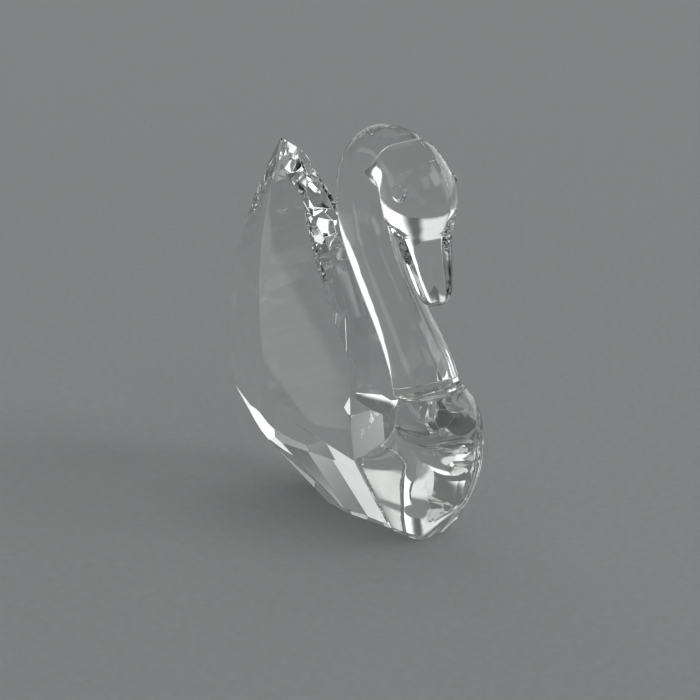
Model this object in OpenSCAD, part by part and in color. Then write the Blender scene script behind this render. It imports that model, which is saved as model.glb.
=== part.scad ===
// Crystal glass swan: three ground or pressed pieces of clear crystal, bonded with two clear films.
// Side view points are written [forward, up], measured from the foot of the neck joint's centre line.

/* [Size] */
// Height from the resting face to the top of the head
height = 50; // [35:1:80]

/* [Wing body] */
// Half width between the large side facets, where they would meet the foot of the neck joint's centre line
table_half = 8.29; // [8.1:0.05:8.5]
// Widening of the large side facets for each millimetre toward the tail
table_flare = 0.235; // [0.225:0.005:0.245]
// Narrowing of the large side facets for each millimetre of height
table_lean = 0.272; // [0.265:0.001:0.28]
// Half thickness of the edge that runs round the tail
girdle_half = 0.3; // [0.2:0.05:0.5]
// Facets in the outer row behind each large side facet
outer_facets = 8; // [5:1:10]
// Facets in the inner row behind each large side facet
inner_facets = 7; // [4:1:9]
// How far the two rows bulge, as a share of their rise
bezel_bulge = 0.14; // [0.08:0.02:0.2]

/* [Breast] */
// Half width of the flat face the breast stands on
foot_half = 3.0; // [2.6:0.1:3.4]
// Widening of the breast's underside for each millimetre of height
flare = 0.39; // [0.36:0.01:0.42]
// Diameter of the flat seat under the neck
seat_d = 9.2; // [8.8:0.1:9.6]
// Backward lean of the seat, in degrees
seat_lean = 12; // [8:1:15]
// Radius of the hollow that wraps round the back of the neck
saddle_r = 5.9; // [5.7:0.1:6]

/* [Neck and head] */
// Diameter of the neck where it is bonded
neck_d = 8.3; // [8:0.1:8.6]
// Diameter of each raised eye
eye_d = 1.8; // [1.4:0.1:2.4]
// Distance from the middle of the head to the face of each eye
eye_reach = 4.65; // [4.55:0.05:4.9]

/* [Bond films] */
// Thickness of each clear adhesive film
film = 0.12; // [0.08:0.01:0.2]
// How far each film stays inside the edges it joins
film_inset = 0.15; // [0.05:0.01:0.2]

/* [Hidden] */
design_height = 50;
mid_forward = -14.7;
joint_height = 18.5;
reach = 120;
core = [0, 20, 18];

// Wing body: a block cut down by flat facets
block_corner = [-15, -10, 0];
block_size = [30, 60, 55];
// Side facets: half width for each millimetre forward, for each millimetre up, and at the origin
table = [-table_flare, -table_lean, table_half];
front_band = [-0.245, -0.168, 6.85];
rear_band = [-0.1, 0.29, 3.34];
under = [-0.1, 0.4, 2.4];
keel_flank = [0.108, 0.59, 4.57];
tail_tip = [-25.9, 45];
keel_top = [-35.4, 9.2];
keel_bend = [-31, 5.6];
keel_foot = [-20, 0];
keel_rim = [-23, 9];
keel_rim_half = 7.2;
foot_rim = [-21, 6.5];
foot_rim_half = 6;
bond_foot = [-3.43, 0];
bond_top = [-5.9, 9.8];
girdle_curve = [tail_tip, [-33.4, 34], [-39.8, 20.5], keel_top];
crown_curve = [[-24.07, 43], [-26.2, 32.2], [-21.6, 17.5], [-16.9, 11.6]];
front_line = [[-24, 43.06], [-15.62, 34.87], [-12.7, 31], [-10.2, 26.2]];

// Breast: each row is [up, half width, front, centre, lean]
breast_rows = [
    [-1, 4, 2.5, -3, 0],
    [3.1, 5.15, 4.7, -3, 0],
    [5.4, 5.3, 6, -4, 0],
    [9.5, 6.75, 7.6, -5.9, 1],
    [13.5, 6.2, 8, -3.5, 4],
    [16.5, 5.3, 6.9, -1.4, 9],
    [joint_height, seat_d / 2, seat_d / 2, 0, seat_lean],
];
breast_under = [0, flare, foot_half];
saddle_centre = [-8.66, 15.8];
saddle_pivot = 3;
chin_foot = [1.95, 0];
chin_top = [4.3, 3];

// Neck, then head and beak: each row is [forward, up, half width, half depth, squareness]
neck_rows = [
    [0.2, 17.8, neck_d / 2, neck_d / 2, 2],
    [-1.1, 21.3, 3.95, 3.95, 2],
    [-3.3, 24.9, 3.6, 3.6, 2],
    [-5.75, 28.5, 3.4, 3.4, 2],
    [-8.3, 32.4, 3.3, 3.3, 2],
    [-10.3, 36.4, 3.35, 3.35, 2],
    [-11.2, 40.2, 3.35, 3.35, 2],
    [-10.8, 43.6, 3.35, 3.35, 2],
    [-9.2, 45.9, 3.4, 3.4, 2],
    [-7, 46.55, 3.45, 3.45, 2],
    [-4.6, 45.9, 3.4, 3.4, 2],
    [-3.1, 44.2, 2.8, 2.8, 2],
];
head_rows = [
    [-4.7, 48.3, 1, 0.9, 2],
    [-4.4, 47.6, 2.4, 2.1, 2],
    [-3.7, 46.3, 3.6, 3.3, 2],
    [-2.9, 44.6, 4.25, 4.1, 2],
    [-2.1, 42.6, 4.5, 4.5, 2],
    [-1.6, 40.7, 4.3, 4.35, 2.1],
    [-1.2, 39, 3.55, 3.65, 2.5],
    [-0.9, 37.5, 2.82, 2.92, 3.4],
    [-0.2, 35, 2.36, 2.36, 4.2],
    [0.65, 32.2, 1.95, 1.85, 4.2],
    [1.2, 30.5, 1.6, 1.4, 3.6],
    [1.4, 29.8, 1.1, 0.9, 2.6],
];
eye_centre = [-0.9, 43.7];

// Points and curves
function at(half, p) = [half, -p[0], p[1]];
function half_at(facet, p) = facet * [p[0], p[1], 1];
function on(facet, p) = at(half_at(facet, p), p);
function on_girdle(p) = at(girdle_half, p);
function bezier(c, t) = pow(1 - t, 3) * c[0] + 3 * t * pow(1 - t, 2) * c[1]
    + 3 * t * t * (1 - t) * c[2] + pow(t, 3) * c[3];
function unit(v) = v / norm(v);
function outward(a, b, c) = let(n = unit(cross(b - a, c - a))) n * (a - core) > 0 ? n : -n;
function row(rows, i) = rows[max(0, min(len(rows) - 1, i))];
// A smooth curve through every row
function blend(rows, t) = let(
        i = min(floor(t), len(rows) - 2),
        u = t - i,
        a = row(rows, i - 1),
        b = row(rows, i),
        c = row(rows, i + 1),
        d = row(rows, i + 2)
    ) 0.5 * (2 * b + (c - a) * u + (2 * a - 5 * b + 4 * c - d) * u * u
        + (3 * b - a - 3 * c + d) * u * u * u);
function power(v, squareness) = sign(v) * pow(abs(v), 2 / squareness);

// A closed skin over rings of equal length, listed one after another
module skin(rings) {
    count = len(rings);
    sides = len(rings[0]);
    polyhedron(
        points = [for (r = rings) each r],
        faces = [
            [for (i = [sides - 1:-1:0]) i],
            [for (i = [0:sides - 1]) (count - 1) * sides + i],
            for (k = [0:count - 2], i = [0:sides - 1]) each let(
                a = k * sides + i,
                b = k * sides + (i + 1) % sides
            ) [[a, b, a + sides], [b, b + sides, a + sides]],
        ]
    );
}

module placed() {
    scale(height / design_height) translate([0, mid_forward, 0]) children();
}

// A frame on the neck seat: its Z axis points up the neck
module on_seat() {
    translate(at(0, [0, joint_height])) rotate([-seat_lean, 0, 0]) children();
}

// A frame on the body bond: its Y axis points up the plane and its Z axis toward the breast
module on_bond() {
    rise = bond_top[1] - bond_foot[1];
    run = bond_foot[0] - bond_top[0];
    translate(at(0, bond_foot)) rotate([atan2(rise, run), 0, 0]) children();
}

module upper_half() {
    translate([-reach / 2, -reach / 2, 0]) cube(reach);
}

// One flat facet: grinds away everything beyond the plane through three points
module grind(a, b, c) {
    n = outward(a, b, c);
    translate(a) rotate([0, acos(n[2]), atan2(n[1], n[0])]) upper_half();
}

module both_sides() {
    children();
    mirror([1, 0, 0]) children();
}

// A side facet given by its half widths
module side_facet(facet) {
    grind(on(facet, [0, 0]), on(facet, [1, 0]), on(facet, [0, 1]));
}

// A facet square to the mirror plane, through two points of it
module cross_facet(a, b) {
    grind(at(0, a), at(0, b), at(1, a));
}

module rear_facets() {
    // Middle of the band between the tail's edge and the large facet
    function middle(t) = let(g = bezier(girdle_curve, t), c = bezier(crown_curve, t))
        at((girdle_half + half_at(table, c)) / 2 * (1 + bezel_bulge), (g + c) / 2);
    for (i = [0:outer_facets - 1])
        grind(on_girdle(bezier(girdle_curve, i / outer_facets)),
            on_girdle(bezier(girdle_curve, (i + 1) / outer_facets)),
            middle((i + 0.5) / outer_facets));
    for (i = [0:inner_facets - 1])
        grind(on(table, bezier(crown_curve, i / inner_facets)),
            on(table, bezier(crown_curve, (i + 1) / inner_facets)),
            middle((i + 0.5) / inner_facets));
}

module keel_facets() {
    grind(on_girdle(keel_top), on_girdle(keel_bend), at(keel_rim_half, keel_rim));
    grind(on_girdle(keel_bend), on_girdle(keel_foot), at(foot_rim_half, foot_rim));
}

module wing_body() color([0.86, 0.89, 0.9, 0.6]) placed() difference() {
    translate(block_corner) cube(block_size);
    both_sides() {
        for (facet = [table, front_band, rear_band, under, keel_flank])
            side_facet(facet);
        rear_facets();
        keel_facets();
    }
    for (i = [0:len(front_line) - 2])
        cross_facet(front_line[i], front_line[i + 1]);
    on_bond() translate([0, 0, -film / 2]) upper_half();
}

module breast_shell() {
    sides = 40;
    steps = 3;
    skin([for (k = [0:steps * (len(breast_rows) - 1)]) let(
            r = blend(breast_rows, k / steps),
            depth = r[2] - r[3]
        ) [for (i = [0:sides - 1]) let(a = 360 * i / sides)
            at(r[1] * cos(a), [r[3] + depth * sin(a) * cos(r[4]), r[0] + depth * sin(a) * sin(r[4])])]]);
}

module breast() color([0.9, 0.92, 0.93, 0.6]) placed() difference() {
    breast_shell();
    on_seat() translate([0, 0, -film / 2]) upper_half();
    on_bond() translate([0, 0, film / 2]) mirror([0, 0, 1]) upper_half();
    translate(at(0, [saddle_pivot, saddle_centre[1]])) rotate_extrude($fn = 96)
        translate([saddle_pivot - saddle_centre[0], 0]) circle(r = saddle_r, $fn = 64);
    translate([0, -mid_forward, 0]) mirror([0, 0, 1]) upper_half();
    both_sides() side_facet(breast_under);
    cross_facet(chin_foot, chin_top);
}

// A tube or egg swept along rows in the mirror plane
module sweep(rows) {
    sides = 24;
    steps = 3;
    last = len(rows) - 1;
    skin([for (k = [0:steps * last]) let(
            t = k / steps,
            r = blend(rows, t),
            ahead = blend(rows, min(last, t + 0.05)),
            behind = blend(rows, max(0, t - 0.05)),
            way = unit([ahead[0] - behind[0], ahead[1] - behind[1]]),
            out = [way[1], -way[0]]
        ) [for (i = [0:sides - 1]) let(a = 360 * i / sides, d = r[3] * power(sin(a), r[4]))
            at(r[2] * power(cos(a), r[4]), [r[0] + out[0] * d, r[1] + out[1] * d])]]);
}

module neck_head() color([0.88, 0.91, 0.93, 0.6]) placed() {
    difference() {
        sweep(neck_rows);
        on_seat() translate([0, 0, film / 2]) mirror([0, 0, 1]) upper_half();
    }
    sweep(head_rows);
    translate(at(0, eye_centre)) rotate([0, 90, 0])
        cylinder(d = eye_d, h = 2 * eye_reach, center = true, $fn = 48);
}

module body_bond() color([0.95, 0.96, 0.9, 0.8]) placed() on_bond() {
    rise = norm(bond_top - bond_foot) - film_inset;
    low = half_at(under, bond_foot) - film_inset;
    high = half_at(breast_under, bond_top) - 2 * film_inset;
    translate([0, 0, -film / 2]) linear_extrude(film)
        polygon([[-low, film_inset], [low, film_inset], [high, rise], [-high, rise]]);
}

module neck_bond() color([0.95, 0.96, 0.9, 0.8]) placed() on_seat()
    translate([0, 0, -film / 2]) cylinder(d = neck_d - 2 * film_inset, h = film, $fn = 96);

wing_body();
breast();
neck_head();
body_bond();
neck_bond();
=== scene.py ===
import math

import bpy
import numpy as np
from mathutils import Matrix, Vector


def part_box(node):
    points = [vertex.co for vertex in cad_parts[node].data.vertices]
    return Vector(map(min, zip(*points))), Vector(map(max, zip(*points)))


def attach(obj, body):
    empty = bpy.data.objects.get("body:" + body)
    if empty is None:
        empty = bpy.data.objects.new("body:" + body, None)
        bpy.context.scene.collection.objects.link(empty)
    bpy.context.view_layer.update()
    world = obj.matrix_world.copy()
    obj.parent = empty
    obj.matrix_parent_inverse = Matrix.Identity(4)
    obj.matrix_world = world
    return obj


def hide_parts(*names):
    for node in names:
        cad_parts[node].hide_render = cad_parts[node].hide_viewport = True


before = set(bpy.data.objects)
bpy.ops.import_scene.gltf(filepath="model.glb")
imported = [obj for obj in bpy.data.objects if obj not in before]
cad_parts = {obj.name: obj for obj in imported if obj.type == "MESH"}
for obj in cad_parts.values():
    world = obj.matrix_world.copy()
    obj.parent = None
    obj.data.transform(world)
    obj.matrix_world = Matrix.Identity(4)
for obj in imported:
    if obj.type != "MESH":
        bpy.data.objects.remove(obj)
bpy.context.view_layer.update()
scene = bpy.context.scene
MM = 0.001

# ---------------------------------------------------------------- shared sizes, in millimetres
# Side view points are [forward, up], measured from the foot of the neck joint's centre line
MID_FORWARD = -14.7
JOINT_HEIGHT = 18.5
SEAT_LEAN = math.radians(12)
SEAT_D = 9.2
NECK_D = 8.3
FILM = 0.12
FILM_INSET = 0.15
FOOT_HALF = 3.0
FLARE = 0.39
WING_UNDER_HALF = 2.4
WING_UNDER_FLARE = 0.1
BOND_FOOT = (-3.43, 0.0)
BOND_TOP = (-5.9, 9.8)
SADDLE_CENTRE = (-8.66, 15.8)
SADDLE_R = 5.9
SADDLE_PIVOT = 3.0
CHIN_FOOT = (1.95, 0.0)
CHIN_TOP = (4.3, 3.0)
EYE = (-0.9, 43.7)
EYE_D = 1.8
EYE_REACH = 4.65

# Roundings where two shapes meet
CUT_RIM = 0.14
SADDLE_RIM = 2.0
UNDER_RIM = 1.8
CHIN_RIM = 0.5
NECK_RIM = 0.12
NECK_END = 0.2
HEAD_END = 0.5
EYE_RIM = 0.3
HEAD_FILLET = 2.0
EYE_FILLET = 0.25
# How far the two softest cuts sit outside the sharp ones, to make up for the glass that their rounding takes
SOFT_RELIEF = 0.25

# up, half width, front, centre, lean in degrees
BREAST_ROWS = np.array([
    [-1, 4, 2.5, -3, 0],
    [3.1, 5.15, 4.7, -3, 0],
    [5.4, 5.3, 6, -4, 0],
    [9.5, 6.75, 7.6, -5.9, 1],
    [13.5, 6.2, 8, -3.5, 4],
    [16.5, 5.3, 6.9, -1.4, 9],
    [JOINT_HEIGHT, SEAT_D / 2, SEAT_D / 2, 0, 12],
], float)
# forward, up, half width, half depth, squareness
NECK_ROWS = np.array([
    [0.2, 17.8, NECK_D / 2, NECK_D / 2, 2],
    [-1.1, 21.3, 3.95, 3.95, 2],
    [-3.3, 24.9, 3.6, 3.6, 2],
    [-5.75, 28.5, 3.4, 3.4, 2],
    [-8.3, 32.4, 3.3, 3.3, 2],
    [-10.3, 36.4, 3.35, 3.35, 2],
    [-11.2, 40.2, 3.35, 3.35, 2],
    [-10.8, 43.6, 3.35, 3.35, 2],
    [-9.2, 45.9, 3.4, 3.4, 2],
    [-7, 46.55, 3.45, 3.45, 2],
    [-4.6, 45.9, 3.4, 3.4, 2],
    [-3.1, 44.2, 2.8, 2.8, 2],
], float)
HEAD_ROWS = np.array([
    [-4.7, 48.3, 1, 0.9, 2],
    [-4.4, 47.6, 2.4, 2.1, 2],
    [-3.7, 46.3, 3.6, 3.3, 2],
    [-2.9, 44.6, 4.25, 4.1, 2],
    [-2.1, 42.6, 4.5, 4.5, 2],
    [-1.6, 40.7, 4.3, 4.35, 2.1],
    [-1.2, 39, 3.55, 3.65, 2.5],
    [-0.9, 37.5, 2.82, 2.92, 3.4],
    [-0.2, 35, 2.36, 2.36, 4.2],
    [0.65, 32.2, 1.95, 1.85, 4.2],
    [1.2, 30.5, 1.6, 1.4, 3.6],
    [1.4, 29.8, 1.1, 0.9, 2.6],
], float)


def point(half, forward, up):
    """A point in the part's frame, in millimetres."""
    return np.array([half, MID_FORWARD - forward, up], float)


JOINT = point(0, 0, JOINT_HEIGHT)
SEAT_UP = np.array([0, math.sin(SEAT_LEAN), math.cos(SEAT_LEAN)])
BOND = point(0, *BOND_FOOT)
BOND_LENGTH = math.hypot(BOND_TOP[0] - BOND_FOOT[0], BOND_TOP[1] - BOND_FOOT[1])
BOND_UP = (point(0, *BOND_TOP) - BOND) / BOND_LENGTH
BOND_FRONT = np.array([0, -BOND_UP[2], BOND_UP[1]])
# The body film's lower and upper edge, each as [up, half width]
FILM_LOW = (
    FILM_INSET * BOND_UP[2],
    WING_UNDER_HALF - WING_UNDER_FLARE * BOND_FOOT[0] - FILM_INSET,
)
FILM_HIGH = (
    (BOND_LENGTH - FILM_INSET) * BOND_UP[2],
    FOOT_HALF + FLARE * BOND_TOP[1] - 2 * FILM_INSET,
)


# ---------------------------------------------------------------- smooth shapes as fields, below zero inside
def blend(rows, t):
    """Catmull-Rom values of every column at t; the last axis is the column."""
    last = len(rows) - 1
    i = np.clip(np.floor(t).astype(int), 0, last - 1)
    u = (t - i)[..., None]
    a, b, c, d = (rows[np.clip(i + k, 0, last)] for k in (-1, 0, 1, 2))
    square = 2 * a - 5 * b + 4 * c - d
    cube = 3 * b - a - 3 * c + d
    return 0.5 * (2 * b + (c - a) * u + square * u**2 + cube * u**3)


def smooth_max(a, b, r):
    h = np.maximum(r - np.abs(a - b), 0) / r
    return np.maximum(a, b) + h * h * r / 4


def smooth_min(a, b, r):
    return -smooth_max(-a, -b, r)


def above_joint(y, z):
    """Height over the middle of the tilted film under the neck."""
    return (y - JOINT[1]) * SEAT_UP[1] + (z - JOINT[2]) * SEAT_UP[2]


def ahead_of_bond(y, z):
    """Distance in front of the middle of the film between wing body and breast."""
    return (y - BOND[1]) * BOND_FRONT[1] + (z - BOND[2]) * BOND_FRONT[2]


def along(rows, forward, up, samples=8):
    """Places each point of the mirror plane by the nearest point of the rows' centre line.

    Returns the blended row there, the distance across the line, and the distance past its ends.
    """
    last = len(rows) - 1
    ts = np.linspace(0, last, samples * last + 1)
    shape = np.broadcast(forward, up).shape
    best = np.full(shape, np.inf)
    pick = np.zeros(shape, int)
    for k, (line_forward, line_up) in enumerate(blend(rows, ts)[:, :2]):
        d = (forward - line_forward) ** 2 + (up - line_up) ** 2
        closer = d < best
        best[closer] = d[closer]
        pick[closer] = k
    t = ts[pick]
    spine = rows[:, :2]
    step = 0.03
    for _ in range(3):
        places = [blend(spine, t + e) for e in (-step, 0, step)]
        low, mid, high = ((forward - p[..., 0]) ** 2 + (up - p[..., 1]) ** 2 for p in places)
        slope = (high - low) / (2 * step)
        bend = (high - 2 * mid + low) / step**2
        t = np.clip(t + np.clip(-slope / np.maximum(np.abs(bend), 0.5), -0.1, 0.1), 0, last)
    here = blend(rows, t)
    way = blend(spine, np.minimum(t + 0.05, last)) - blend(spine, np.maximum(t - 0.05, 0))
    way = way / np.linalg.norm(way, axis=-1, keepdims=True)
    off_forward = forward - here[..., 0]
    off_up = up - here[..., 1]
    axial = off_forward * way[..., 0] + off_up * way[..., 1]
    across = off_forward * way[..., 1] - off_up * way[..., 0]
    past_end = np.where(t <= 0, -axial, np.where(t >= last, axial, -1.0))
    return here, across, past_end


def swept(rows, half, forward, up, rounding):
    """A bar along the rows, as round or square in section as each row says."""
    here, across, past_end = along(rows, forward, up)
    a, b, n = here[..., 2], here[..., 3], here[..., 4]
    ring = ((np.abs(half) / a + 1e-9) ** n + (np.abs(across) / b + 1e-9) ** n) ** (1 / n)
    return smooth_max((ring - 1) * np.minimum(a, b), past_end, rounding)


def neck_head_field(x, y, z):
    forward = MID_FORWARD - y
    neck = swept(NECK_ROWS, x, forward, z, NECK_END)
    neck = smooth_max(neck, FILM / 2 - above_joint(y, z), NECK_RIM)
    head = swept(HEAD_ROWS, x, forward, z, HEAD_END)
    eye = np.sqrt((forward - EYE[0]) ** 2 + (z - EYE[1]) ** 2) - EYE_D / 2
    eye = smooth_max(eye, np.abs(x) - EYE_REACH, EYE_RIM)
    return smooth_min(smooth_min(neck, head, HEAD_FILLET), eye, EYE_FILLET)


def breast_skin(x, forward, z):
    """The breast before its cuts: leaning elliptic slices, searched for the one that holds each point."""
    last = len(BREAST_ROWS) - 1
    step = 0.02

    def above_slice(k):
        r = blend(BREAST_ROWS, np.clip(k, 0, last))
        lean = np.radians(r[..., 4])
        return (z - r[..., 0]) * np.cos(lean) - (forward - r[..., 3]) * np.sin(lean)

    k = np.interp(z + 0 * forward, BREAST_ROWS[:, 0], np.arange(last + 1.0))
    for _ in range(5):
        above = above_slice(k)
        slope = np.minimum((above_slice(k + step) - above) / step, -0.8)
        k = np.clip(k - np.clip(above / slope, -0.7, 0.7), 0, last - step)
    r = blend(BREAST_ROWS, k)
    lean = np.radians(r[..., 4])
    across = (forward - r[..., 3]) * np.cos(lean) + (z - r[..., 0]) * np.sin(lean)
    a, b = r[..., 1], r[..., 2] - r[..., 3]
    return (np.sqrt((x / a) ** 2 + (across / b) ** 2) - 1) * np.minimum(a, b)


def breast_field(x, y, z):
    forward = MID_FORWARD - y
    glass = breast_skin(x, forward, z)
    round_neck = np.sqrt(x**2 + (forward - SADDLE_PIVOT) ** 2) - SADDLE_PIVOT + SADDLE_CENTRE[0]
    from_saddle = np.sqrt(round_neck**2 + (z - SADDLE_CENTRE[1]) ** 2)
    chin = np.array([CHIN_TOP[1] - CHIN_FOOT[1], CHIN_FOOT[0] - CHIN_TOP[0]])
    chin /= np.linalg.norm(chin)
    cuts = [
        (CUT_RIM, above_joint(y, z) + FILM / 2),
        (CUT_RIM, FILM / 2 - ahead_of_bond(y, z)),
        (SADDLE_RIM, SADDLE_R - SOFT_RELIEF - from_saddle),
        (UNDER_RIM, (np.abs(x) - FLARE * z - FOOT_HALF - SOFT_RELIEF) / math.hypot(1, FLARE)),
        (CUT_RIM, -z + 0 * y),
        (CHIN_RIM, (forward - CHIN_FOOT[0]) * chin[0] + (z - CHIN_FOOT[1]) * chin[1]),
    ]
    for rounding, cut in cuts:
        glass = smooth_max(glass, cut, rounding)
    return glass


# ---------------------------------------------------------------- meshes from the fields
def gradient(field, v, here=None, step=0.004):
    """The field's slope at each point: one-sided if the value here is given, otherwise central."""
    g = np.empty_like(v)
    for a in range(3):
        e = np.zeros(3)
        e[a] = step
        behind, width = (field(*(v - e).T), 2 * step) if here is None else (here, step)
        g[:, a] = (field(*(v + e).T) - behind) / width
    return g


def settle(field, v, rounds, limit):
    """Moves the points onto the field's zero surface, by no more than the limit each round."""
    for _ in range(rounds):
        value = field(*v.T)
        g = gradient(field, v, value)
        v = v - np.clip(value / np.maximum((g * g).sum(1), 0.05), -limit, limit)[:, None] * g
    return v


def net(field, low, high, cell):
    """A point in each grid cell that the surface crosses, and the quads that join them."""
    n = np.ceil((high - low) / cell).astype(int) + 1
    x, y, z = (low[a] + cell * np.arange(n[a]) for a in range(3))
    inside = field(x[:, None, None], y[None, :, None], z[None, None, :]) < 0
    count = sum(inside[i:n[0] - 1 + i, j:n[1] - 1 + j, k:n[2] - 1 + k].astype(np.int8)
                for i in (0, 1) for j in (0, 1) for k in (0, 1))
    crossed = (count > 0) & (count < 8)
    index = np.full(crossed.shape, -1)
    index[crossed] = np.arange(crossed.sum())
    v = low + cell * (np.argwhere(crossed) + 0.5)
    unit = np.eye(3, dtype=int)
    faces = []
    for a in range(3):
        b, c = (a + 1) % 3, (a + 2) % 3
        core = [slice(None)] * 3
        core[a] = slice(0, n[a] - 1)
        following = list(core)
        following[a] = slice(1, n[a])
        start, stop = inside[tuple(core)], inside[tuple(following)]
        p = np.argwhere(start != stop)
        p = p[(p[:, b] > 0) & (p[:, c] > 0) & (p[:, b] < n[b] - 1) & (p[:, c] < n[c] - 1)]
        corners = (unit[b] + unit[c], unit[c], 0 * unit[b], unit[b])
        quad = np.stack([index[tuple((p - q).T)] for q in corners], axis=1)
        flip = ~start[tuple(p.T)]
        quad[flip] = quad[flip][:, ::-1]
        faces.append(quad)
    return v, np.concatenate(faces)


def surface(name, field, low, high, cell):
    """A quad mesh on the field's zero surface, with the field's own normals."""
    v, faces = net(field, low, high, cell)
    edges = np.concatenate([faces[:, [i, (i + 1) % 4]] for i in range(4)])
    v = settle(field, v, 2, cell)
    for _ in range(2):
        total, number = np.zeros_like(v), np.zeros(len(v))
        for i, j in ((0, 1), (1, 0)):
            np.add.at(total, edges[:, i], v[edges[:, j]])
            np.add.at(number, edges[:, i], 1)
        v = settle(field, v + 0.5 * (total / number[:, None] - v), 1, cell)
    v = settle(field, v, 2, cell)
    g = gradient(field, v)
    normals = g / np.linalg.norm(g, axis=1, keepdims=True)
    mesh = bpy.data.meshes.new(name)
    mesh.from_pydata((v * MM).tolist(), [], faces.tolist())
    mesh.shade_smooth()
    mesh.normals_split_custom_set_from_vertices(normals.tolist())
    obj = bpy.data.objects.new(name, mesh)
    scene.collection.objects.link(obj)
    return obj


# ---------------------------------------------------------------- materials
CRYSTAL_IOR = 1.54


def add(nodes, kind, **settings):
    node = nodes.new(kind)
    for key, value in settings.items():
        setattr(node, key, value)
    return node


def maths(nodes, links, operation, first, second=None):
    """A maths node's result; each operand is a number or another node's output."""
    node = add(nodes, "ShaderNodeMath", operation=operation)
    for i, value in enumerate((first, second)):
        if isinstance(value, (int, float)):
            node.inputs[i].default_value = value
        elif value is not None:
            links.new(value, node.inputs[i])
    return node.outputs[0]


def cloud(nodes, links, low, high, scale, detail=2.0, ends=(0.3, 0.7)):
    """A faint drift between two colours, and the noise that it follows."""
    place = add(nodes, "ShaderNodeTexCoord")
    noise = add(nodes, "ShaderNodeTexNoise")
    noise.inputs["Scale"].default_value = scale
    noise.inputs["Detail"].default_value = detail
    ramp = add(nodes, "ShaderNodeValToRGB")
    for element, end, colour in zip(ramp.color_ramp.elements, ends, (low, high)):
        element.position = end
        element.color = (*colour, 1)
    links.new(place.outputs["Object"], noise.inputs["Vector"])
    links.new(noise.outputs["Fac"], ramp.inputs["Fac"])
    return ramp.outputs["Color"], noise.outputs["Fac"]


def glass(nodes, links, wave=0.0, wave_scale=300.0):
    """Clear crystal with a faint colour drift and, on pressed pieces, a faint surface wave."""
    shader = add(nodes, "ShaderNodeBsdfPrincipled")
    shader.inputs["Transmission Weight"].default_value = 1.0
    shader.inputs["IOR"].default_value = CRYSTAL_IOR
    shader.inputs["Roughness"].default_value = 0.0
    colour, height = cloud(nodes, links, (0.972, 0.982, 0.982), (0.992, 0.994, 0.992), wave_scale)
    links.new(colour, shader.inputs["Base Color"])
    if wave:
        bump = add(nodes, "ShaderNodeBump")
        bump.inputs["Strength"].default_value = wave
        bump.inputs["Distance"].default_value = 0.2 * MM
        links.new(height, bump.inputs["Height"])
        links.new(bump.outputs["Normal"], shader.inputs["Normal"])
    return shader.outputs[0]


def adhesive(nodes, links):
    """Cured adhesive: light passes straight on, with a faint and uneven tint."""
    shader = add(nodes, "ShaderNodeBsdfTransparent")
    colour, _ = cloud(nodes, links, (0.975, 0.98, 0.97), (0.998, 0.998, 0.995), 400.0)
    links.new(colour, shader.inputs["Color"])
    return shader.outputs[0]


def wetted_glass(nodes, links):
    """Glass that is see-through where the body film wets it."""
    flare = (FILM_HIGH[1] - FILM_LOW[1]) / (FILM_HIGH[0] - FILM_LOW[0])
    half_at_floor = FILM_LOW[1] - FILM_LOW[0] * flare
    place = add(nodes, "ShaderNodeTexCoord")
    axes = add(nodes, "ShaderNodeSeparateXYZ")
    links.new(place.outputs["Object"], axes.inputs[0])
    side = maths(nodes, links, "ABSOLUTE", axes.outputs["X"])
    up = axes.outputs["Z"]
    half = maths(nodes, links, "ADD", maths(nodes, links, "MULTIPLY", up, flare), half_at_floor * MM)
    wet = maths(nodes, links, "LESS_THAN", side, half)
    for operation, edge in (("GREATER_THAN", FILM_LOW[0]), ("LESS_THAN", FILM_HIGH[0])):
        wet = maths(nodes, links, "MULTIPLY", wet, maths(nodes, links, operation, up, edge * MM))
    mix = add(nodes, "ShaderNodeMixShader")
    links.new(wet, mix.inputs[0])
    links.new(glass(nodes, links), mix.inputs[1])
    links.new(adhesive(nodes, links), mix.inputs[2])
    return mix.outputs[0]


def sheet(nodes, links):
    """The pale matt sheet that the swan stands on."""
    shader = add(nodes, "ShaderNodeBsdfPrincipled")
    shader.inputs["Roughness"].default_value = 0.9
    colour, _ = cloud(nodes, links, (0.5, 0.5, 0.51), (0.6, 0.6, 0.61), 900.0, detail=3.0, ends=(0, 1))
    links.new(colour, shader.inputs["Base Color"])
    return shader.outputs[0]


def material(name, shading, **detail):
    m = bpy.data.materials.new(name)
    m.use_nodes = True
    nodes, links = m.node_tree.nodes, m.node_tree.links
    nodes.clear()
    out = add(nodes, "ShaderNodeOutputMaterial")
    links.new(shading(nodes, links, **detail), out.inputs["Surface"])
    return m


facet_glass = material("facet_glass", glass)
pressed_glass = material("pressed_glass", glass, wave=0.15, wave_scale=260.0)
bonded = material("bonded_face", adhesive)
wetted = material("bond_face", wetted_glass)

# ---------------------------------------------------------------- crystals and films
CELL = 0.16
GRID_MARGIN = 0.6
BOND_REACH = 0.08
FILM_MARGIN = 0.5
EDGE_ROUNDING = 0.05


def assign(mesh, index, test):
    """Puts the polygons whose centre passes the test on one material slot."""
    for polygon in mesh.polygons:
        if test(np.array(polygon.center) / MM):
            polygon.material_index = index


def on_neck_film(c):
    up = above_joint(c[1], c[2])
    return abs(up) < BOND_REACH and np.linalg.norm(c - JOINT - up * SEAT_UP) < NECK_D / 2 - FILM_INSET


def on_bond_plane(c):
    return abs(ahead_of_bond(c[1], c[2])) < BOND_REACH


def on_body_film(c):
    return on_bond_plane(c) and c[2] < FILM_HIGH[0] + FILM_MARGIN


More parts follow.
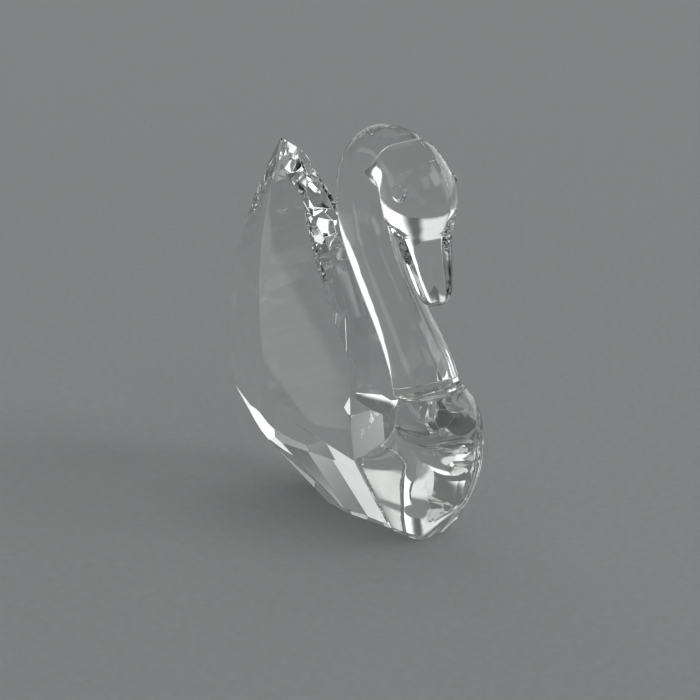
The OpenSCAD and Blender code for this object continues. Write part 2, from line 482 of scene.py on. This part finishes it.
def smooth_crystal(name, field, node):
    """A smooth mesh the size of a CAD node, see-through where the neck's film wets it."""
    low, high = (np.array(corner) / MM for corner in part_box(node))
    cell = CELL
    obj = surface(name, field, low - GRID_MARGIN, high + GRID_MARGIN, cell)
    for each in (pressed_glass, bonded, wetted):
        obj.data.materials.append(each)
    assign(obj.data, 1, on_neck_film)
    return obj


neck_head = smooth_crystal("neck_and_head", neck_head_field, "neck_head")
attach(neck_head, "root")
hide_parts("neck_head")

breast = smooth_crystal("breast_crystal", breast_field, "breast")
assign(breast.data, 2, on_body_film)
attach(breast, "root")
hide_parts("breast")

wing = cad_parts["wing_body"]
wing.data.materials.clear()
for each in (facet_glass, wetted):
    wing.data.materials.append(each)
assign(wing.data, 1, on_bond_plane)
weld = wing.modifiers.new("weld", "WELD")
weld.merge_threshold = 0.001 * MM
flat = wing.modifiers.new("flat", "DECIMATE")
flat.decimate_type = "DISSOLVE"
flat.angle_limit = math.radians(0.2)
bevel = wing.modifiers.new("edge", "BEVEL")
bevel.width = EDGE_ROUNDING * MM
bevel.segments = 2
bevel.limit_method = "ANGLE"
bevel.angle_limit = math.radians(1.5)
bevel.harden_normals = False

for name in ("body_bond", "neck_bond"):
    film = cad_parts[name]
    film.data.materials.clear()
    film.data.materials.append(bonded)


# ---------------------------------------------------------------- floor and camera
def bearing(azimuth, elevation):
    """Unit vector toward a direction in degrees: azimuth 0 is straight ahead of the swan, 90 is +X."""
    a, e = math.radians(azimuth), math.radians(elevation)
    return Vector((math.sin(a) * math.cos(e), -math.cos(a) * math.cos(e), math.sin(e)))


def pale_floor():
    half = 3.0
    corners = [(-half, -half, 0), (half, -half, 0), (half, half, 0), (-half, half, 0)]
    mesh = bpy.data.meshes.new("floor")
    mesh.from_pydata(corners, [], [(0, 1, 2, 3)])
    obj = bpy.data.objects.new("floor", mesh)
    scene.collection.objects.link(obj)
    obj.data.materials.append(material("pale_sheet", sheet))
    obj.location.z = -0.02 * MM
    return obj


pale_floor()

# The camera stands at this distance (metres) and bearing from the neck joint
DISTANCE = 0.232
STAND_BEARING = (-46, 21)
# It looks back along this bearing, so the joint sits a little off the middle of the view
LOOK_BEARING = (-43.52, 19.8)
# Film width and focal length, in millimetres
SENSOR = 36
FOCAL = 99

camera_data = bpy.data.cameras.new("camera")
camera_data.sensor_width = SENSOR
camera_data.lens = FOCAL
camera_data.clip_start = 0.01
camera = bpy.data.objects.new("camera", camera_data)
camera.location = Vector(JOINT) * MM + DISTANCE * bearing(*STAND_BEARING)
ahead = -bearing(*LOOK_BEARING)
camera.rotation_euler = ahead.to_track_quat("-Z", "Y").to_euler()
scene.collection.objects.link(camera)
scene.camera = camera

# ---------------------------------------------------------------- studio light
# Wall brightness at the horizon and overhead
WALL = (0.13, 0.2)
# Soft windows: azimuth, elevation, width and height in degrees, and brightness
WINDOWS = (
    (80, 14, 74, 28, 1.4),
    (157, 14, 42, 26, 0.7),
    (240, 6, 60, 13, 1.1),
    (-34, 6, 20, 10, 0.55),
    (33, 37, 32, 20, 2.2),
    (-12, 36, 24, 16, 0.9),
    (157, 56, 44, 24, 0.4),
)
# Where a window is full and where it is out, as shares of its half width or half height
FULL = 0.7
OUT = 1.25


def map_range(nodes, links, value, start, stop, low, high, interpolation):
    node = add(nodes, "ShaderNodeMapRange", interpolation_type=interpolation)
    node.inputs["From Min"].default_value = start
    node.inputs["From Max"].default_value = stop
    node.inputs["To Min"].default_value = low
    node.inputs["To Max"].default_value = high
    links.new(value, node.inputs["Value"])
    return node.outputs["Result"]


def part_along(nodes, links, direction, axis):
    node = add(nodes, "ShaderNodeVectorMath", operation="DOT_PRODUCT")
    links.new(direction, node.inputs[0])
    node.inputs[1].default_value = axis
    return node.outputs["Value"]


def soft_window(nodes, links, direction, azimuth, elevation, spread, tall, brightness):
    """A window with soft edges in the studio wall."""
    out = bearing(azimuth, elevation)
    side = bearing(azimuth + 90, 0)
    facing = part_along(nodes, links, direction, out)
    glow = map_range(nodes, links, facing, 0.1, 0.3, 0.0, brightness, "SMOOTHERSTEP")
    for axis, reach in ((side, spread / 2), (out.cross(side), tall / 2)):
        off = maths(nodes, links, "ABSOLUTE", part_along(nodes, links, direction, axis))
        dark, bright = (math.sin(math.radians(reach * share)) for share in (OUT, FULL))
        edge = map_range(nodes, links, off, dark, bright, 0.0, 1.0, "SMOOTHERSTEP")
        glow = maths(nodes, links, "MULTIPLY", glow, edge)
    return glow


def studio():
    world = bpy.data.worlds.new("studio")
    world.use_nodes = True
    nodes, links = world.node_tree.nodes, world.node_tree.links
    direction = add(nodes, "ShaderNodeTexCoord").outputs["Generated"]
    axes = add(nodes, "ShaderNodeSeparateXYZ")
    links.new(direction, axes.inputs[0])
    light = map_range(nodes, links, axes.outputs["Z"], 0.0, 1.0, *WALL, "LINEAR")
    for window in WINDOWS:
        light = maths(nodes, links, "ADD", light, soft_window(nodes, links, direction, *window))
    background = nodes["Background"]
    background.inputs["Color"].default_value = (0.98, 1.0, 0.995, 1)
    links.new(light, background.inputs["Strength"])
    return world


scene.world = studio()
scene.view_settings.view_transform = "Standard"
scene.cycles.max_bounces = 24
scene.cycles.transmission_bounces = 24
scene.cycles.glossy_bounces = 12
scene.cycles.transparent_max_bounces = 24
